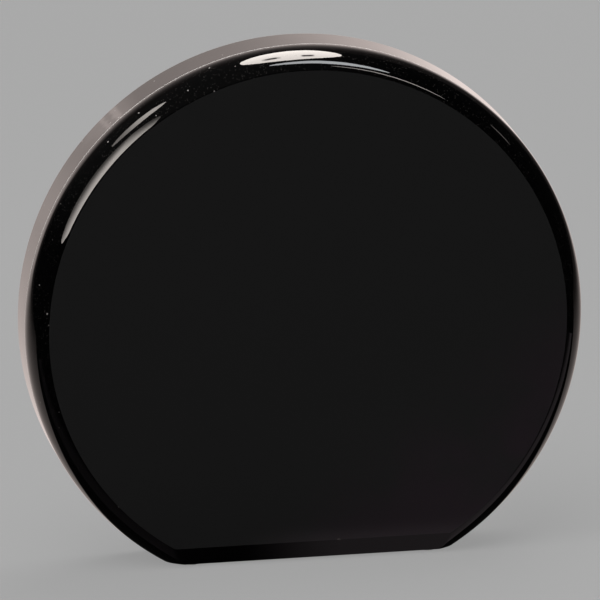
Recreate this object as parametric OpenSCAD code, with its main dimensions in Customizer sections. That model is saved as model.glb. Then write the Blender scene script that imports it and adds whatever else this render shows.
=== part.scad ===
// Standing disc of black glass: two ground plates bonded back to back, with a rounded front edge,
// a flat-cut foot and four small pads under it.
// The disc stands on Z = 0 with its face toward -Y; X is across the face. Millimetres.

/* [Disc] */
// Diameter of the round outline
disc_d = 152; // [120:1:200]
// Width of the flat foot, which sets how low the disc is cut
foot_w = 79.6; // [50:0.1:100]

/* [Plates] */
// Thickness of the front plate
front_t = 9; // [8:0.5:19]
// Thickness of the cured adhesive film between the plates
bond_t = 0.3; // [0.1:0.05:1]
// Thickness of the back plate
back_t = 13; // [8:0.5:25]

/* [Rounded front edge] */
// Straight land left on the front plate's rim, between the rounding and the film
edge_land = 0.2; // [0.1:0.1:4]
// How far the rounding runs in from the rim onto the face
edge_in = 5.2; // [2:0.1:7]

/* [Foot bevel] */
// Height of the bevel along the foot of the face
bevel_h = 5; // [1:0.5:12]
// Depth of the bevel at the foot
bevel_deep = 2.2; // [0.5:0.1:5]

/* [Back arris] */
// Width of the small chamfer around the back edge
back_arris = 0.5; // [0.2:0.1:2]

/* [Pads] */
// Diameter of each pad
pad_d = 5; // [4:0.5:6]
// Thickness of each pad
pad_t = 0.6; // [0.3:0.1:2]
// Gap from a pad to the foot's front edge, deep enough to hide the pad from the front
pad_front_gap = 1.6; // [1:0.1:4]
// Gap from a pad to the foot's back edge
pad_back_gap = 1.5; // [1:0.1:4]
// Gap from a pad to the foot's end
pad_end_gap = 5; // [2:0.5:15]

/* [Hidden] */
$fn = 180;

glass_black = [0.02, 0.02, 0.02];
film_grey = [0.6, 0.6, 0.58];
pad_grey = [0.75, 0.77, 0.78];

// Room that a cutting shape takes beyond what it cuts
over = 1;

disc_r = disc_d / 2;
disc_t = front_t + bond_t + back_t;
centre_h = sqrt(disc_r * disc_r - foot_w * foot_w / 4);
face_y = -disc_t / 2;
film_y = face_y + front_t;
back_plate_y = film_y + bond_t;
back_y = back_plate_y + back_t;
foot_front_y = face_y + bevel_deep;
foot_back_y = back_y - back_arris;
pad_x = foot_w / 2 - pad_end_gap - pad_d / 2;
pad_front_y = foot_front_y + pad_front_gap + pad_d / 2;
pad_back_y = foot_back_y - pad_back_gap - pad_d / 2;

// The rounding is one arc that leaves the rim squarely and meets the face at a shallow angle.
// Its radius is a whole number of microns, so that the arc's centre and the rim agree exactly.
edge_deep = front_t - edge_land;
edge_turn = 2 * atan(edge_in / edge_deep);
edge_r = round(1000 * edge_deep / sin(edge_turn)) / 1000;
edge_centre = [disc_r - edge_r, edge_deep];

// Profile points are [distance from the disc's centre, depth behind its front]
module front_profile() {
    difference() {
        square([disc_r, front_t]);
        difference() {
            translate([edge_centre.x, -over]) square([edge_r + over, edge_deep + over]);
            translate(edge_centre) circle(r = edge_r);
        }
    }
}

module film_profile() {
    square([disc_r, bond_t]);
}

module back_profile() {
    polygon([
        [0, 0],
        [disc_r, 0],
        [disc_r, back_t - back_arris],
        [disc_r - back_arris, back_t],
        [0, back_t]
    ]);
}

// Turns a profile into a disc that stands on its foot, starting at depth y
module standing_disc(y) {
    intersection() {
        translate([0, y, pad_t + centre_h])
            rotate([-90, 0, 0]) rotate_extrude() children();
        translate([-disc_d, -disc_t, pad_t]) cube([2 * disc_d, 2 * disc_t, 2 * disc_d]);
    }
}

// Wedge along the foot of a face at y = 0, deep along +Y at the bottom and high up the face
module foot_wedge(deep, high) {
    slope = high / deep;
    rotate([90, 0, 90]) linear_extrude(height = 2 * disc_d, center = true)
        polygon([[-over, -over], [deep + over / slope, -over], [-over, high + over * slope]]);
}

module front_plate() {
    color(glass_black) difference() {
        standing_disc(face_y) front_profile();
        translate([0, face_y, pad_t]) foot_wedge(bevel_deep, bevel_h);
    }
}

module bond_film() {
    color(film_grey) standing_disc(film_y) film_profile();
}

module back_plate() {
    color(glass_black) difference() {
        standing_disc(back_plate_y) back_profile();
        translate([0, back_y, pad_t]) mirror([0, 1, 0]) foot_wedge(back_arris, back_arris);
    }
}

// side is -1 for left and 1 for right, seen from the front
module pad(side, y) {
    color(pad_grey) translate([side * pad_x, y, 0]) cylinder(d = pad_d, h = pad_t);
}

front_plate();
bond_film();
back_plate();
pad(-1, pad_front_y);  // pad_front_left
pad(1, pad_front_y);  // pad_front_right
pad(-1, pad_back_y);  // pad_back_left
pad(1, pad_back_y);  // pad_back_right
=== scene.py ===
# %% [markdown]
# # A standing disc of black glass
# The object is a heavy round block that stands on a flat foot. Two plates of black glass are bonded back
# to back. The front one has a broad rounded edge, which is what catches the light, and a narrow bevel
# along its foot. Glass this dark shows almost no colour of its own: nearly everything seen on it is a
# reflection. So the lesson has three parts: exact curves, a finish that is nearly but not quite perfect,
# and a studio that gives the curves something to reflect.

# %% Load the frame
import math

import bmesh
import bpy
from mathutils import Matrix, Vector


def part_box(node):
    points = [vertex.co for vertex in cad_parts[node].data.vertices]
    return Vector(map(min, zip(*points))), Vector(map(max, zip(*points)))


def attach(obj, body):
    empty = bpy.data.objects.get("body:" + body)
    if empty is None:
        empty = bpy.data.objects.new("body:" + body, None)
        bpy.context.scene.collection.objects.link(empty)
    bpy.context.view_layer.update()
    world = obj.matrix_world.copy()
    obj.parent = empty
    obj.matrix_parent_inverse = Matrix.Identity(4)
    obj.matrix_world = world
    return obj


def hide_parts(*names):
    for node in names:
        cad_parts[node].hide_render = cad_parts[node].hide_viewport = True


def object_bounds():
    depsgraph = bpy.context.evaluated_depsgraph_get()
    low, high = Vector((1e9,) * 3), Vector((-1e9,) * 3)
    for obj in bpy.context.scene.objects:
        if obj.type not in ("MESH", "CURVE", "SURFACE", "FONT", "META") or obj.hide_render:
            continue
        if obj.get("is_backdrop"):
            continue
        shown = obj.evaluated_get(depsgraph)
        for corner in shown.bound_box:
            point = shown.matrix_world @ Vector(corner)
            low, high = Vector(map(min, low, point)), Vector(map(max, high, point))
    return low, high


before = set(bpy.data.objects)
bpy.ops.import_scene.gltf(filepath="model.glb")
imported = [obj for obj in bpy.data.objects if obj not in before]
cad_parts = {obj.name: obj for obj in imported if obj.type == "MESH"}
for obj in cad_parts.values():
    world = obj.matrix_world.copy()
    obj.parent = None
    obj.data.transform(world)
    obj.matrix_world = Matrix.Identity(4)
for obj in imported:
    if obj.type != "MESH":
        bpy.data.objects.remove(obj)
cad_low, cad_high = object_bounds()
print("CAD box, mm:", [round(1000 * side, 2) for side in cad_high - cad_low])

# %% [markdown]
# ## Sizes from the frame
# The CAD model fixes where each plate starts and ends. Those places could be typed again, but then they
# would go wrong at the first change, so they are read from the frame. Only the shape of an edge, which a
# box can't tell, is written here, in metres. Two places closer than TINY count as the same place.

# %% Sizes
MM = 0.001
TINY = 0.001 * MM
EDGE_IN = 5.2 * MM
EDGE_LAND = 0.2 * MM
BEVEL_HIGH = 5 * MM
BEVEL_DEEP = 2.2 * MM

front_low, front_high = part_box("front_plate")
film_low, film_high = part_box("bond_film")
back_low, back_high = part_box("back_plate")

disc_r = (front_high.x - front_low.x) / 2
centre_z = front_high.z - disc_r
foot_z = front_low.z
face_y = front_low.y
disc_centre = Vector((0, 0, centre_z))
print("radius, centre height and foot, mm:", [round(size / MM, 2) for size in (disc_r, centre_z, foot_z)])

# %% [markdown]
# ## Working in edit mode
# Every operator acts on what is selected, so each step starts from an empty selection and then picks
# faces or edges by where they are. Clicking does that by hand. Three small helpers do it here, so the
# cells below read like the steps a person takes.

# %% Picking by place
def start_alone():
    """Leaves edit mode and selects nothing, so that the next primitive is on its own."""
    if bpy.context.mode != "OBJECT":
        bpy.ops.object.mode_set(mode="OBJECT")
    bpy.ops.object.select_all(action="DESELECT")


def pick_faces(test):
    """Selects the faces of the mesh in edit mode that pass the test."""
    bpy.ops.mesh.select_mode(type="FACE")
    bpy.ops.mesh.select_all(action="DESELECT")
    mesh = bmesh.from_edit_mesh(bpy.context.edit_object.data)
    for face in mesh.faces:
        face.select_set(test(face))
    bmesh.update_edit_mesh(bpy.context.edit_object.data)


def pick_edges(test):
    """Selects the edges of the mesh in edit mode that pass the test."""
    bpy.ops.mesh.select_mode(type="EDGE")
    bpy.ops.mesh.select_all(action="DESELECT")
    mesh = bmesh.from_edit_mesh(bpy.context.edit_object.data)
    for edge in mesh.edges:
        edge.select_set(test(edge))
    bmesh.update_edit_mesh(bpy.context.edit_object.data)

# %% [markdown]
# ## Turning a disc ring by ring
# All three round pieces are ground on a turntable, so each is one profile carried round. Spin could turn
# the whole profile at once, but then its pole and its seam need cleaning. Starting from a thin cylinder
# and drawing its end face out, ring after ring, keeps the mesh closed from the first step. Each ring is a
# radius and a depth, so any profile can be followed.

# %% A disc from rings
STEPS_ROUND = 384


def turned_disc(name, base_y, first_y, first_r, rings):
    """A disc whose flat back is at base_y and whose other end is drawn out through (radius, y) rings."""
    start_alone()
    bpy.ops.mesh.primitive_cylinder_add(
        vertices=STEPS_ROUND,
        radius=first_r,
        depth=abs(first_y - base_y),
        location=(0, (base_y + first_y) / 2, centre_z),
        rotation=(math.pi / 2, 0, 0),
    )
    disc = bpy.context.object
    disc.name = name
    bpy.ops.object.transform_apply(location=True, rotation=True, scale=True)
    bpy.ops.object.mode_set(mode="EDIT")
    pick_faces(lambda face: len(face.verts) > 4 and abs(face.calc_center_median().y - first_y) < TINY)
    radius, depth = first_r, first_y
    for next_r, next_y in rings:
        bpy.ops.mesh.extrude_region_move(TRANSFORM_OT_translate={"value": (0, next_y - depth, 0)})
        scale = next_r / radius
        bpy.ops.transform.resize(value=(scale, 1, scale), center_override=(0, next_y, centre_z))
        radius, depth = next_r, next_y
    bpy.ops.mesh.select_all(action="SELECT")
    bpy.ops.mesh.normals_make_consistent(inside=False)
    return disc

# %% [markdown]
# ## Cutting the foot and easing its edges
# The foot and its bevel are ground flat after the disc is round. A boolean with a box would cut them too,
# but Bisect is one clean plane cut and closes it with one face. No one leaves a ground glass edge sharp,
# so the new edges are then eased by a hair, as with a hand stone.

# %% Cut and ease
CUT_EASE = 0.15 * MM
SHARP_TURN = math.radians(12)


def cut_flat(point, outward):
    """Cuts off everything on the outward side of a plane and closes the cut with a face."""
    bpy.ops.mesh.select_all(action="SELECT")
    bpy.ops.mesh.bisect(plane_co=point, plane_no=outward, use_fill=True, clear_outer=True, threshold=TINY / 10)


def ease_cut_edges(planes):
    """Rounds off the sharp edges that lie in any of the planes."""
    def on_cut(edge):
        if len(edge.link_faces) != 2 or edge.calc_face_angle() < SHARP_TURN:
            return False
        ends = [vert.co for vert in edge.verts]
        return any(all(abs((end - point).dot(out)) < 2 * TINY for end in ends) for point, out in planes)

    pick_edges(on_cut)
    bpy.ops.mesh.bevel(offset=CUT_EASE, segments=2, profile=0.5, affect="EDGES", clamp_overlap=True)

# %% [markdown]
# ## Smooth curves, flat flats
# Polished glass shows every fault in a curve, so the shading has to be as true as the shape. Plain smooth
# shading would bend the reflections on the flats next to a curve. Weighted normals let the large flat
# faces decide, and edges of more than 40 degrees stay sharp.

# %% Finish a shape
SMOOTH_UP_TO = math.radians(40)


def finish_shape(piece):
    """Leaves edit mode, smooths the curves and keeps the flats flat."""
    bpy.ops.object.mode_set(mode="OBJECT")
    bpy.ops.object.shade_smooth_by_angle(angle=SMOOTH_UP_TO)
    weighted = piece.modifiers.new("keep flats flat", "WEIGHTED_NORMAL")
    weighted.mode = "FACE_AREA"
    weighted.weight = 100
    weighted.keep_sharp = True
    bpy.ops.object.modifier_apply(modifier=weighted.name)
    piece.data.update()
    size = [round(side / MM, 2) for side in piece.dimensions]
    print(piece.name, "has", len(piece.data.polygons), "faces and measures", size, "mm")

# %% [markdown]
# ## The curve of the front edge
# The rim starts square to the face, then one arc carries it forward and in, and meets the face at a
# shallow angle. A polisher never leaves that meeting line sharp, so a second, much smaller arc touches
# both the face and the first arc. A bevel could round it, but only nearly. Both arcs are worked out here
# instead, so the rings follow true circles and the reflections run without a kink.

# %% Rings of the front edge
ARRIS_R = 1.1 * MM
ARC_STEPS = 28
ARRIS_STEPS = 7
FLAT_MARGIN = 0.4 * MM

edge_deep = front_high.y - face_y - EDGE_LAND
edge_turn = 2 * math.atan(EDGE_IN / edge_deep)
edge_r = edge_deep / math.sin(edge_turn)
edge_x = disc_r - edge_r
arris_x = edge_x + math.sqrt((edge_r - ARRIS_R) ** 2 - (edge_deep - ARRIS_R) ** 2)
arris_turn = math.atan2(edge_deep - ARRIS_R, arris_x - edge_x)


def arc_rings(centre_r, centre_deep, radius, first, last, steps):
    """(radius, y) rings along an arc; angles are measured from square to the rim towards the face."""
    turns = [first + (last - first) * step / steps for step in range(1, steps + 1)]
    return [
        (centre_r + radius * math.cos(turn), face_y + centre_deep - radius * math.sin(turn))
        for turn in turns
    ]


front_rings = arc_rings(edge_x, edge_deep, edge_r, 0, arris_turn, ARC_STEPS)
front_rings += arc_rings(arris_x, ARRIS_R, ARRIS_R, arris_turn, math.pi / 2, ARRIS_STEPS)
front_rings.append((arris_x - FLAT_MARGIN, face_y))
print("edge arc: radius", round(edge_r / MM, 2), "mm over", round(math.degrees(edge_turn), 1), "degrees")

# %% [markdown]
# ## The front plate
# This is the plate with the polished face. It is turned first and cut after, in the order in which it is
# ground: the foot square to the face, then the bevel that leans back from the face to the foot.

# %% Front plate
front_plate = turned_disc("front_glass", front_high.y, face_y + edge_deep, disc_r, front_rings)

down = Vector((0, 0, -1))
foot_point = Vector((0, 0, foot_z))
bevel_point = Vector((0, face_y, foot_z + BEVEL_HIGH))
bevel_out = Vector((0, -BEVEL_HIGH, -BEVEL_DEEP)).normalized()
cut_flat(foot_point, down)
cut_flat(bevel_point, bevel_out)
ease_cut_edges([(foot_point, down), (bevel_point, bevel_out)])
finish_shape(front_plate)

# %% [markdown]
# ## The back plate
# It is a plain thick plate with a straight rim. Only its back edge is eased, with a small rounded arris
# that keeps it from chipping. A bevel on that edge would do, but the rings give the same profile and keep
# its steps in line with those of the front plate.

# %% Back plate
BACK_ARRIS = 0.5 * MM
ARRIS_TURNS = 5

back_rings = [
    (
        disc_r - BACK_ARRIS + BACK_ARRIS * math.cos(step / ARRIS_TURNS * math.pi / 2),
        back_high.y - BACK_ARRIS + BACK_ARRIS * math.sin(step / ARRIS_TURNS * math.pi / 2),
    )
    for step in range(1, ARRIS_TURNS + 1)
]
back_rings.append((disc_r - BACK_ARRIS - FLAT_MARGIN, back_high.y))
back_plate = turned_disc("back_glass", back_low.y, back_high.y - BACK_ARRIS, disc_r, back_rings)
cut_flat(foot_point, down)
ease_cut_edges([(foot_point, down)])
finish_shape(back_plate)

# %% [markdown]
# ## The adhesive film
# Cured adhesive shows at the rim as a hair-thin pale line. The line could be a stripe in the finish of
# the glass, but the film is a piece of its own, so it is turned like the plates. It shrinks a little as
# it cures, so its edge is very slightly hollow: two rings with a smaller one between them give that.

# %% Adhesive film
FILM_HOLLOW = 0.01 * MM

film_t = film_high.y - film_low.y
film_rings = [
    (disc_r - FILM_HOLLOW, film_low.y + film_t / 2),
    (disc_r - FILM_HOLLOW, film_low.y + film_t / 3),
    (disc_r, film_low.y),
]
film_start_y = film_low.y + film_t * 2 / 3
bond_film = turned_disc("adhesive_film", film_high.y, film_start_y, disc_r - FILM_HOLLOW / 2, film_rings)
cut_flat(foot_point, down)
finish_shape(bond_film)

# %% [markdown]
# ## The pads
# Four small clear pads keep the glass off the shelf. Each is a low round button with a rounded rim and a
# shallow dished middle. A bevel rounds the rim and two insets make the dish. One is modelled, and copies
# of its mesh go to the place of each CAD pad, so that all four are alike.

# %% Pads
PAD_RIM = 0.2 * MM
PAD_DISH = 0.06 * MM
PAD_STEPS = 64

pad_names = ["pad_front_left", "pad_front_right", "pad_back_left", "pad_back_right"]
pad_low, pad_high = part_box(pad_names[0])
pad_r = (pad_high.x - pad_low.x) / 2
pad_t = pad_high.z - pad_low.z
middle = (0, 0, pad_t / 2)

start_alone()
bpy.ops.mesh.primitive_cylinder_add(vertices=PAD_STEPS, radius=pad_r, depth=pad_t, location=middle)
pad_model = bpy.context.object
bpy.ops.object.transform_apply(location=True, rotation=True, scale=True)
bpy.ops.object.mode_set(mode="EDIT")
pick_edges(lambda edge: all(vert.co.z < pad_t / 2 for vert in edge.verts))
bpy.ops.mesh.bevel(offset=PAD_RIM, segments=4, profile=0.5, affect="EDGES")
pick_faces(lambda face: len(face.verts) > 4 and face.normal.z < -0.99)
bpy.ops.mesh.inset(thickness=pad_r / 4)
bpy.ops.mesh.inset(thickness=pad_r / 8)
bpy.ops.transform.translate(value=(0, 0, PAD_DISH))
finish_shape(pad_model)

pads = []
for name in pad_names:
    low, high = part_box(name)
    pad = bpy.data.objects.new(name.replace("pad_", "clear_pad_"), pad_model.data.copy())
    bpy.context.collection.objects.link(pad)
    pad.data.transform(Matrix.Translation(((low.x + high.x) / 2, (low.y + high.y) / 2, low.z)))
    pads.append(pad)
bpy.data.objects.remove(pad_model)
print("pads:", [pad.name for pad in pads])

# %% [markdown]
# ## Each piece takes the place of its CAD node
# The frame keeps the CAD solids for collision. Here each modelled piece is put under the one body, and the
# CAD node that it stands for is hidden.

# %% Tell the frame
stands_for = {
    front_plate: ("front_plate", "front_glass"),
    back_plate: ("back_plate", "back_glass"),
    bond_film: ("bond_film", "adhesive_film"),
}
stands_for.update({pad: (name, "pad") for pad, name in zip(pads, pad_names)})
for piece, (node, slot) in stands_for.items():
    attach(piece, "root")
    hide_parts(node)
print(len(stands_for), "pieces stand for their CAD nodes")

# %% [markdown]
# ## Writing shader maths as sums
# A procedural finish is mostly arithmetic on masks. Each sum could be drawn as a chain of Math nodes by
# hand. The class below wraps a socket instead, so that a plus or a times sign adds the node, and the
# formula stays readable.

# %% A number that varies
class Term:
    """A number that varies over a surface. Arithmetic on it adds Math nodes."""

    def __init__(self, tree, socket):
        self.tree = tree
        self.socket = socket

    def math(self, operation, *values):
        return self.tree.node("ShaderNodeMath", {"operation": operation}, dict(enumerate(values)))

    def __add__(self, other):
        return self.math("ADD", self, other)

    def __sub__(self, other):
        return self.math("SUBTRACT", self, other)

    def __rsub__(self, other):
        return self.math("SUBTRACT", other, self)

    def __mul__(self, other):
        return self.math("MULTIPLY", self, other)

    def __gt__(self, other):
        return self.math("GREATER_THAN", self, other)

    def __abs__(self):
        return self.math("ABSOLUTE", self)

    __radd__ = __add__
    __rmul__ = __mul__

    def ramp(self, low, high):
        """0 below low, 1 above high, and a smooth rise between; low above high gives a fall."""
        settings = {"interpolation_type": "SMOOTHSTEP"}
        if low < high:
            return self.tree.node("ShaderNodeMapRange", settings, {0: self, 1: low, 2: high})
        return 1 - self.tree.node("ShaderNodeMapRange", settings, {0: self, 1: high, 2: low})

    def die_away(self, start, length):
        """1 up to start, then an exponential fall that reaches about a third after the length."""
        past = self.math("MAXIMUM", self - start, 0)
        return self.math("EXPONENT", past * (-1 / length))

# %% [markdown]
# ## One method for every other node
# Noise, colour mixes and shaders are nodes too. One method makes any of them: it takes the kind of node,
# its settings and what goes into its sockets, which may be plain values or Terms.

# %% A node tree
class Tree:
    """A node tree that starts empty. node() makes any node and returns one of its outputs."""

    def __init__(self, tree):
        self.nodes = tree.nodes
        self.links = tree.links
        self.nodes.clear()

    def node(self, kind, settings, values, output=0):
        made = self.nodes.new(kind)
        for name, setting in settings.items():
            setattr(made, name, setting)
        for name, value in values.items():
            if isinstance(value, Term):
                self.links.new(value.socket, made.inputs[name])
            else:
                made.inputs[name].default_value = value
        return made if output is None else Term(self, made.outputs[output])

# %% [markdown]
# ## A finish
# A finish is one shader with a few patterns to feed it. Patterns on Object coordinates stay where they
# are on a piece, with no map to unfold, which suits glass and other cast or ground pieces. What is the
# same all over is set on the shader, and what varies is fed in.

# %% A finish and its patterns
class Finish(Tree):
    """A material with one shader. Uniform values are set on it, and varying ones are fed in."""

    def __init__(self, name, kind="ShaderNodeBsdfPrincipled", **uniform):
        self.material = bpy.data.materials.new(name)
        self.material.use_nodes = True
        super().__init__(self.material.node_tree)
        values = {socket.replace("_", " "): value for socket, value in uniform.items()}
        shader = self.node(kind, {}, values)
        self.shader = shader.socket.node
        self.output = self.node("ShaderNodeOutputMaterial", {}, {"Surface": shader}, None)
        self.place = self.node("ShaderNodeTexCoord", {}, {}, "Object")

    def parts(self, vector):
        """The three parts of a vector, each as a Term."""
        split = self.node("ShaderNodeSeparateXYZ", {}, {0: vector}).socket.node
        return [Term(self, split.outputs[axis]) for axis in range(3)]

    def noise(self, scale, detail=2.0, stretch=(1, 1, 1)):
        """Soft noise, scale per metre, from about 0.3 to 0.7."""
        place = self.node("ShaderNodeMapping", {}, {"Vector": self.place, "Scale": stretch})
        return self.node("ShaderNodeTexNoise", {}, {"Vector": place, "Scale": scale, "Detail": detail})

    def specks(self, spacing, size, share):
        """Sparse round specks, this share of cells holding one. Lengths are in metres."""
        cells = {"Vector": self.place, "Scale": 1 / spacing}
        distance = self.node("ShaderNodeTexVoronoi", {}, cells, "Distance")
        tint = self.node("ShaderNodeTexVoronoi", {}, cells, "Color")
        chosen = self.parts(tint)[0] > 1 - share
        return distance.ramp(size / spacing, size / spacing / 3) * chosen

    def mix_colours(self, mask, first, second):
        """First colour where the mask is 0, second where it is 1."""
        return self.node("ShaderNodeMix", {"data_type": "RGBA"}, {0: mask, 6: first, 7: second}, 2)

    def feed(self, socket, term):
        self.links.new(term.socket, self.shader.inputs[socket])

    def shade(self, share):
        """Dims a glowing finish to a share of its strength, from 0, dark, to 1, full."""
        dark = self.node("ShaderNodeEmission", {}, {"Strength": 0.0})
        full = Term(self, self.shader.outputs[0])
        mixed = self.node("ShaderNodeMixShader", {}, {0: share, 1: dark, 2: full})
        self.links.new(mixed.socket, self.output.inputs["Surface"])

    def raise_surface(self, height, distance):
        """Bump of that height, given as a Term, times a distance in metres."""
        bump = self.node("ShaderNodeBump", {}, {"Height": height, "Distance": distance, "Strength": 1.0})
        self.feed("Normal", bump)

# %% [markdown]
# ## Black glass
# The body colour is close to black. One flat black would look like plastic. What makes it real is how it
# departs from perfect: dust and a few bits of lint lie where the edge faces up; the arris over the foot has
# tiny chips; and hand polishing leaves the rounded edge very slightly wavy, which breaks the highlights up.
# The flat face is painted a faint grey, a painted reflection of what lies in front of it, and low on the
# right it has a warmer painted sheen, a painted reflection of the lit floor there.

# %% Glass finish
DEEP_BLACK = (0.0006, 0.0006, 0.0007, 1)
# Painted reflection: the flat face's faint grey stands in for what the face mirrors in front of it.
FACE_PAINTED_REFLECTION = (0.0175, 0.0175, 0.0175, 1)
# Painted sheen: the warmer tone low on the face's right is a painted reflection of the lit floor.
WARM_PAINTED_SHEEN = (0.0225, 0.0172, 0.0208, 1)
DUST = (0.035, 0.032, 0.030, 1)
LINT = (0.45, 0.42, 0.40, 1)
CHIPPED = (0.12, 0.10, 0.09, 1)


def black_glass(name, slow_wave, quick_wave):
    """Polished black glass. The waves are the heights in metres of what polishing leaves on the curves."""
    glass = Finish(name, IOR=1.5)
    x, y, z = glass.parts(glass.place)
    normal = glass.node("ShaderNodeNewGeometry", {}, {}, "Normal")
    _, depth, up = glass.parts(normal)

    flat_face = (0 - depth).ramp(0.985, 0.9995)
    curved = 1 - flat_face
    # Painted sheen: this mask is a patch low on the right of the flat face, where a warm reflection is
    # painted.
    painted_sheen_low_right = (x - 1.3 * z).ramp(-0.035, 0.02) * glass.noise(60, 3).ramp(0.25, 0.6)
    # Painted reflection: the flat face gets a painted faint grey that stands in for its reflection of what
    # lies in front.
    colour = glass.mix_colours(flat_face, DEEP_BLACK, FACE_PAINTED_REFLECTION)
    colour = glass.mix_colours(painted_sheen_low_right * flat_face, colour, WARM_PAINTED_SHEEN)

    settles = up.ramp(-0.45, 0.3) * curved
    dust = glass.specks(0.5 * MM, 0.17 * MM, 0.35) * glass.noise(45, 3).ramp(0.2, 0.55) * settles
    lint = glass.specks(2.2 * MM, 0.32 * MM, 0.25) * x.ramp(0.02, -0.03) * settles
    over_foot = abs(z - foot_z - BEVEL_HIGH).ramp(0.5 * MM, 0.1 * MM)
    foot_arris = over_foot * (y - face_y).ramp(0.6 * MM, 0.1 * MM)
    chips = glass.specks(4 * MM, 0.7 * MM, 0.4) * glass.noise(900, 2).ramp(0.45, 0.6) * foot_arris
    colour = glass.mix_colours(dust, colour, DUST)
    colour = glass.mix_colours(lint, colour, LINT)
    colour = glass.mix_colours(chips, colour, CHIPPED)
    glass.feed("Base Color", colour)

    smudges = glass.noise(35, 4, (1, 1, 2)).ramp(0.5, 0.75)
    glass.feed("Roughness", 0.012 + 0.02 * smudges + 0.1 * dust + 0.5 * lint + 0.5 * chips)

    waves = glass.noise(120, 1) * slow_wave + glass.noise(420, 2) * quick_wave
    glass.raise_surface(waves * curved * (1 / MM), MM)
    return glass.material


front_finish = black_glass("polished black glass, front", 0.030 * MM, 0.008 * MM)
back_finish = black_glass("polished black glass, back", 0.015 * MM, 0.006 * MM)
print("glass finishes:", front_finish.name, "and", back_finish.name)

# %% [markdown]
# ## Cured adhesive and clear pads
# The adhesive is a pale resin, faintly cloudy, with a few tiny bubbles. The pads are a clear soft polymer
# with a fine moulded texture. Full transmission would be slow and hardly seen on pieces this small, so
# the pads let only about half of the light through.

# %% Adhesive and pad finishes
RESIN = (0.76, 0.74, 0.71, 1)
PALE_RESIN = (0.88, 0.86, 0.83, 1)
BUBBLE = (0.8, 0.8, 0.78, 1)
POLYMER = (0.70, 0.72, 0.73, 1)
PALE_POLYMER = (0.82, 0.84, 0.85, 1)


def cured_adhesive():
    resin = Finish("cured adhesive", IOR=1.49)
    cloud = resin.noise(220, 3)
    bubbles = resin.specks(1.2 * MM, 0.12 * MM, 0.1)
    colour = resin.mix_colours(cloud.ramp(0.35, 0.65), RESIN, PALE_RESIN)
    resin.feed("Base Color", resin.mix_colours(bubbles, colour, BUBBLE))
    resin.feed("Roughness", 0.12 + 0.2 * cloud)
    resin.raise_surface(bubbles, 0.01 * MM)
    return resin.material


def clear_polymer():
    polymer = Finish("clear pad polymer", IOR=1.49, Transmission_Weight=0.55)
    texture = polymer.noise(2500, 2)
    colour = polymer.mix_colours(texture.ramp(0.3, 0.7), POLYMER, PALE_POLYMER)
    polymer.feed("Base Color", colour)
    polymer.feed("Roughness", 0.25 + 0.3 * texture)
    polymer.raise_surface(texture, 0.01 * MM)
    return polymer.material


finishes = {front_plate: front_finish, back_plate: back_finish, bond_film: cured_adhesive()}
pad_finish = clear_polymer()
finishes.update({pad: pad_finish for pad in pads})
for piece, finish in finishes.items():
    piece.data.materials.clear()
    piece.data.materials.append(finish)
print("finishes are set on", len(finishes), "pieces")

# %% [markdown]
# ## Floor and background
# The floor is a plain pale grey. A floor that only takes the lamps would be uneven, so most of its tone
# is steady, as in an even sweep, and the rest takes the lamps and holds the shadow. The glass doesn't see
# this floor: it sees the paper and cards below, as it would in a studio where black glass stands between
# white paper behind and black card in front.

# %% Pale floor
PALE_GREY = (0.392, 0.392, 0.392, 1)
SHADOW_SHARE = 0.25


def pale_floor():
    material = bpy.data.materials.new("pale floor")
    material.use_nodes = True
    tree = Tree(material.node_tree)
    lit = tree.node("ShaderNodeBsdfDiffuse", {}, {"Color": PALE_GREY})
    steady = tree.node("ShaderNodeEmission", {}, {"Color": PALE_GREY, "Strength": 1.0})
    seen = tree.node("ShaderNodeLightPath", {}, {}, "Is Camera Ray")
    mixed = tree.node("ShaderNodeMixShader", {}, {0: seen * (1 - SHADOW_SHARE), 1: lit, 2: steady})
    tree.node("ShaderNodeOutputMaterial", {}, {"Surface": mixed}, None)
    return material


start_alone()
bpy.ops.mesh.primitive_plane_add(size=16)
floor = bpy.context.object
floor.name = "floor"
floor.data.materials.append(pale_floor())
floor.visible_glossy = False
floor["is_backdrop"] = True
print("floor:", [round(side, 1) for side in floor.dimensions], "m")

# %% [markdown]
# ## The world behind the floor
# Past the floor's far edge the camera sees the same grey, so no horizon shows. A world of that grey would
# also shine on the glass from all round and turn it milky, so every other ray finds it black.

# %% World
world = bpy.data.worlds.new("studio")
bpy.context.scene.world = world
world.use_nodes = True
sky = Tree(world.node_tree)
camera_sees = sky.node("ShaderNodeBackground", {}, {"Color": PALE_GREY, "Strength": 1.0})
glass_sees = sky.node("ShaderNodeBackground", {}, {"Color": (0, 0, 0, 1), "Strength": 0.0})
is_camera = sky.node("ShaderNodeLightPath", {}, {}, "Is Camera Ray")
both = sky.node("ShaderNodeMixShader", {}, {0: is_camera, 1: glass_sees, 2: camera_sees})
sky.node("ShaderNodeOutputWorld", {}, {"Surface": both}, None)
print("world:", world.name, "with", len(sky.nodes), "nodes")

# %% [markdown]
# ## Cards that only the glass sees
# Each highlight on the rounded edge is the mirror image of one bright card. Real area lamps would give it too,
# but they would also light the floor and the haze. These cards are seen only in reflections: they don't
# show, cast no shadow and add no light to anything dull, which keeps the lighting plain. A card's place
# is given as it is seen from the rim: from its top, as shares of the height AWAY, for a card on the
# ceiling, and from four fifths up, as shares of the same distance, for a card on a side wall.

# %% Hanging a card
WARM_WHITE = (1.0, 0.925, 0.870, 1)
COOL_WHITE = (0.95, 0.975, 1.0, 1)
AWAY = 1.2
SEEN_FROM = 0.8

rim_top = Vector((0, 0, cad_high.z))
rim_side = Vector((0, 0, cad_high.z * SEEN_FROM))


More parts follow.
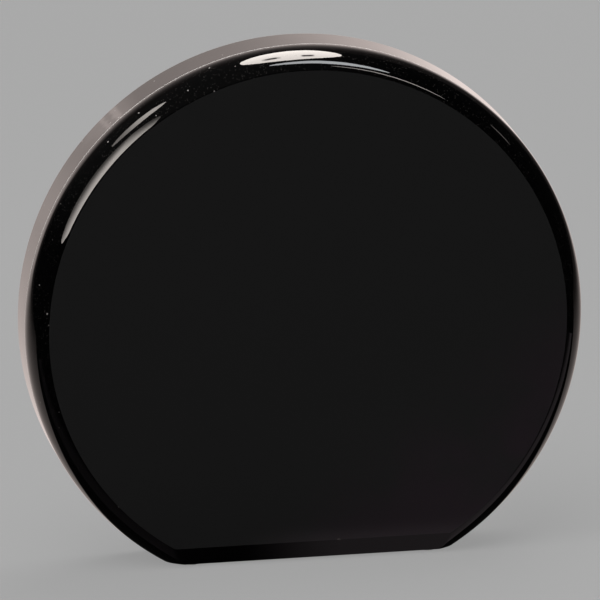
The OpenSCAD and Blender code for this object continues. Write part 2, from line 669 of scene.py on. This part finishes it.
def only_in_reflections(card, finish):
    card.data.materials.append(finish.material)
    card.visible_camera = False
    card.visible_diffuse = False
    card.visible_shadow = False
    card.visible_transmission = False
    card.visible_volume_scatter = False
    card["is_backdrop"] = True


def glow(name, strength, colour):
    return Finish(name, "ShaderNodeEmission", Strength=strength, Color=colour)


def round_card(name, centre, wide, long, turn, finish):
    """An oval card that faces straight down until it is turned."""
    start_alone()
    bpy.ops.mesh.primitive_circle_add(vertices=64, radius=0.5, fill_type="NGON", location=centre)
    card = bpy.context.object
    card.name = name
    card.scale = (AWAY * wide, AWAY * long, 1)
    card.rotation_euler = turn
    only_in_reflections(card, finish)


def ceiling_card(name, x, y, wide, long, strength, colour, turn=0.0):
    """Hangs a card over the rim and returns its finish."""
    centre = rim_top + AWAY * Vector((x, y, 1))
    finish = glow(name + " light", strength, colour)
    round_card(name, centre, wide, long, (0, 0, math.radians(turn)), finish)
    return finish


def wall_card(name, side, y, z, deep, high, strength, colour, lean=0.0):
    """Hangs a card on the left wall (side -1) or the right wall (side 1) and returns its finish."""
    centre = rim_side + AWAY * Vector((side, y, z))
    upright = Matrix.Rotation(math.pi / 2, 3, "Y")
    turn = (upright @ Matrix.Rotation(math.radians(lean), 3, "Z")).to_euler()
    finish = glow(name + " light", strength, colour)
    round_card(name, centre, high, deep, turn, finish)
    return finish

# %% [markdown]
# ## Placing the cards
# The places come from working back from each highlight: where it lies on the edge, which way the glass
# faces there, and so which way the reflection looks. A big softbox overhead makes the broad highlight at
# the top, two tubes make the thin lines under it, and a tube and a softbox on the left make the long
# streaks there.

# %% Cards
softbox_light = ceiling_card(
    "overhead_softbox", x=0.108, y=0.235, wide=0.51, long=0.74, strength=16, colour=WARM_WHITE
)
ceiling_card(
    "overhead_tube", x=0.33, y=-0.365, wide=0.68, long=0.18, strength=9, colour=COOL_WHITE, turn=-8
)
ceiling_card(
    "front_tube", x=0.78, y=-0.69, wide=0.90, long=0.055, strength=8, colour=WARM_WHITE, turn=-9
)
left_tube_light = ceiling_card(
    "left_tube", x=-0.90, y=-0.09, wide=0.58, long=0.34, strength=8, colour=WARM_WHITE
)
left_softbox_light = wall_card(
    "left_softbox", side=-1, y=-0.95, z=0.82, deep=1.56, high=0.84, strength=9.5, colour=WARM_WHITE, lean=-52
)
wall_card("right_glint", side=1, y=-0.04, z=0.48, deep=0.04, high=0.14, strength=2, colour=WARM_WHITE)

# %% [markdown]
# ## Uneven cards
# An even card gives a highlight like a cut-out. Real ones are uneven. A crossbar hangs under the overhead
# softbox, and two stretches of it show as short dark marks. The two on the left are brighter towards one
# side, as a lamp close to its diffuser makes them.

# %% Shades on the cards
local_x, local_y, _ = softbox_light.parts(softbox_light.place)
bar = abs(local_y + 0.18).ramp(0.11, 0.045)
stretches = abs(local_x + 0.19).ramp(0.11, 0.03) + abs(local_x - 0.15).ramp(0.075, 0.03)
softbox_light.shade(1 - 0.9 * bar * stretches)

local_x, _, _ = left_tube_light.parts(left_tube_light.place)
left_tube_light.shade(0.375 + 0.625 * local_x.ramp(-0.3, 0.3))

local_x, local_y, _ = left_softbox_light.parts(left_softbox_light.place)
left_softbox_light.shade(0.105 + 0.895 * (local_x - 0.8 * abs(local_y)).ramp(-0.6, 0.12))
print("shaded:", [light.material.name for light in (softbox_light, left_tube_light, left_softbox_light)])

# %% [markdown]
# ## The dim room
# Past the cards the glass sees the room itself, nearly dark: a little light on the left and above, almost
# none on the right and in front. The world could hold that tone, but a large ball around everything can
# be kept out of sight of all but the glass, like the cards.

# %% Dim room
ROOM_R = 6
ROOM_FULL = 0.068
ROOM_TONE = (1.0, 0.97, 0.95, 1)

start_alone()
bpy.ops.mesh.primitive_uv_sphere_add(segments=48, ring_count=24, radius=ROOM_R)
room = bpy.context.object
room.name = "dim_room"
room_tone = glow("dim room", ROOM_FULL, ROOM_TONE)
room_x, _, room_z = room_tone.parts(room_tone.place)
room_tone.shade(0.12 + 0.88 * room_z.ramp(0.5, 4.5) * room_x.ramp(4, -1))
only_in_reflections(room, room_tone)
print("room is", 2 * ROOM_R, "m across")

# %% [markdown]
# ## The white paper behind
# The straight rim is seen at a glancing angle, where even black glass mirrors like silver. It reflects a
# roll of white paper that starts just behind the disc, runs back along the floor and climbs a wall, and
# that is why the rim is pale and its front curve, which faces the dark room, is black. A plane is drawn
# out along its far edge, first round the bend and then up the wall.

# %% Paper
PAPER_FRONT = 0.014
PAPER_BACK = 1.25
PAPER_HALF = 1.9
PAPER_NEAR_LEFT = -0.36
PAPER_NEAR_RIGHT = 0.42
PAPER_TOP = 3.0
PAPER_LIFT = 1 * MM
BEND_R = 0.25
BEND_STEPS = 8

start_alone()
bpy.ops.mesh.primitive_plane_add(size=1, location=(0, (PAPER_FRONT + PAPER_BACK) / 2, PAPER_LIFT))
paper = bpy.context.object
paper.name = "white_paper"
paper.scale = (2 * PAPER_HALF, PAPER_BACK - PAPER_FRONT, 1)
bpy.ops.object.transform_apply(location=True, rotation=True, scale=True)
bpy.ops.object.mode_set(mode="EDIT")
pick_edges(lambda edge: all(vert.co.y < PAPER_FRONT + TINY for vert in edge.verts))
near_half = (PAPER_NEAR_RIGHT - PAPER_NEAR_LEFT) / 2
bpy.ops.transform.resize(value=(near_half / PAPER_HALF, 1, 1), center_override=(0, PAPER_FRONT, 0))
bpy.ops.transform.translate(value=((PAPER_NEAR_RIGHT + PAPER_NEAR_LEFT) / 2, 0, 0))
pick_edges(lambda edge: all(vert.co.y > PAPER_BACK - TINY for vert in edge.verts))
for step in range(BEND_STEPS):
    before, after = (math.pi / 2 * turn / BEND_STEPS for turn in (step, step + 1))
    run = BEND_R * (math.sin(after) - math.sin(before))
    rise = BEND_R * (math.cos(before) - math.cos(after))
    bpy.ops.mesh.extrude_region_move(TRANSFORM_OT_translate={"value": (0, run, rise)})
bpy.ops.mesh.extrude_region_move(TRANSFORM_OT_translate={"value": (0, 0, PAPER_TOP - BEND_R)})
bpy.ops.object.mode_set(mode="OBJECT")
print("paper:", [round(side, 2) for side in paper.dimensions], "m")

# %% [markdown]
# ## Light on the paper
# An evenly lit sheet would make the rim one flat tone. This one is lit from above the middle, so it fades
# up the wall and to the sides. The light of two narrow window panes falls on it too, inside a softer glow.

# %% Tone of the paper
PAPER_FULL = 2.0
WARM_PAPER = (1.0, 0.865, 0.820, 1)

paper_tone = glow("white paper", PAPER_FULL, WARM_PAPER)
paper_x, paper_y, paper_z = paper_tone.parts(paper_tone.place)
floor_tone = 0.11 * paper_z.ramp(0.3, 0)
sides = (paper_x + 0.7 * paper_y).ramp(-0.42, 0.06) * (paper_x - 0.5 * paper_y).ramp(0.42, -0.2)
panes = 0.30 * abs(paper_x + 0.356).ramp(0.014, 0.005) + 0.25 * abs(paper_x + 0.386).ramp(0.008, 0.002)
panes += 0.22 * abs(paper_x + 0.37).ramp(0.09, 0.02)
panes *= paper_z.ramp(0.13, 0.25) * paper_z.ramp(0.75, 0.6)
upward = (paper_z + 0.45 * abs(paper_x)).die_away(0.75, 0.5)
pool = 0.69 + 0.40 * paper_x.ramp(0, 0.45) + 0.32 * paper_x.ramp(-0.35, -0.7)
pool += 0.23 * paper_z.ramp(0.5, 0.68)
paper_tone.shade(((pool + floor_tone + panes) * sides * upward + 0.06) * (1 / PAPER_FULL))
only_in_reflections(paper, paper_tone)
print("paper tone has", len(paper_tone.nodes), "nodes")

# %% [markdown]
# ## Light on the floor in front
# A little light slips past the right side of the disc and falls on the floor just in front of it. It
# shows in the bevel along the foot, which is black at its left end and dark grey at its right, and as the
# faint warm bloom low on the face. A lamp could throw it, but its edges are easier to place as a shade on
# a flat patch.

# %% Floor spill
PINK_SPILL = (1.0, 0.86, 0.92, 1)
SPILL_FULL = 0.3
SPILL_SIZE = 0.5
SPILL_LIFT = 0.5 * MM

spill_middle_y = face_y + BEVEL_DEEP - SPILL_SIZE / 2
start_alone()
bpy.ops.mesh.primitive_plane_add(size=SPILL_SIZE, location=(0, spill_middle_y, SPILL_LIFT))
spill = bpy.context.object
spill.name = "floor_spill"
bpy.ops.object.transform_apply(location=True, rotation=True, scale=True)
spill_tone = glow("floor spill", SPILL_FULL, PINK_SPILL)
spill_x, spill_y, _ = spill_tone.parts(spill_tone.place)
beside_disc = spill_y.ramp(-0.05, -0.02)
near = 0.19 * spill_x.ramp(-0.020, 0.010) + 0.04 * spill_x.ramp(-0.034, -0.042)
far = 0.03 * spill_x.ramp(-0.01, 0.06) * spill_y.ramp(-0.22, -0.02)
spill_tone.shade((0.008 + near * beside_disc + far) * (1 / SPILL_FULL))
only_in_reflections(spill, spill_tone)
print("spill:", [round(side, 2) for side in spill.dimensions], "m")

# %% [markdown]
# ## Two plain soft lamps
# These light whatever isn't glossy: the floor, the haze on the face, the dust and the pads. Sun lamps
# would cast hard shadows, so both are large squares, and the glass doesn't mirror them.

# %% Soft lamps
LAMP_SIZE = 2.4


def soft_lamp(name, place, power):
    start_alone()
    bpy.ops.object.light_add(type="AREA", location=place)
    lamp = bpy.context.object
    lamp.name = name
    lamp.data.shape = "SQUARE"
    lamp.data.size = LAMP_SIZE
    lamp.data.energy = power
    lamp.rotation_euler = (disc_centre - Vector(place)).to_track_quat("-Z", "Y").to_euler()
    lamp.visible_glossy = False
    lamp.visible_camera = False
    print(name, power, "W")


soft_lamp("key lamp", (-0.8, -0.9, 2.6), 72)
soft_lamp("fill lamp", (1.0, 1.2, 2.8), 65)

# %% [markdown]
# ## Camera
# A long lens from some way off keeps the circle nearly a true ellipse. The camera stands a little to the
# left and above, and leans by about a degree. A Track To constraint could aim it, but it can't lean it,
# so its three axes are worked out and become its rotation.

# %% Camera
AZIMUTH = math.radians(-9.11)
ELEVATION = math.radians(13.95)
LEAN = math.radians(-1.15)
DISTANCE = 3.458
LENS = 770.9
AIM_RIGHT = -2.4 * MM
AIM_UP = 7.2 * MM

back = Vector((
    math.sin(AZIMUTH) * math.cos(ELEVATION),
    -math.cos(AZIMUTH) * math.cos(ELEVATION),
    math.sin(ELEVATION),
))
level_right = Vector((math.cos(AZIMUTH), math.sin(AZIMUTH), 0))
level_up = back.cross(level_right)
right = math.cos(LEAN) * level_right + math.sin(LEAN) * level_up
up = back.cross(right)
aim = Vector((0, face_y, centre_z)) + AIM_RIGHT * right + AIM_UP * up

start_alone()
bpy.ops.object.camera_add(location=aim + DISTANCE * back)
camera = bpy.context.object
camera.rotation_euler = Matrix((right, up, back)).transposed().to_euler()
camera.data.lens = LENS
camera.data.clip_end = 30
bpy.context.scene.camera = camera
bpy.context.scene.view_settings.view_transform = "Standard"
print("camera at", [round(part, 3) for part in camera.location])

low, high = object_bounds()
print("visual box, mm:", [round(1000 * side, 2) for side in high - low])
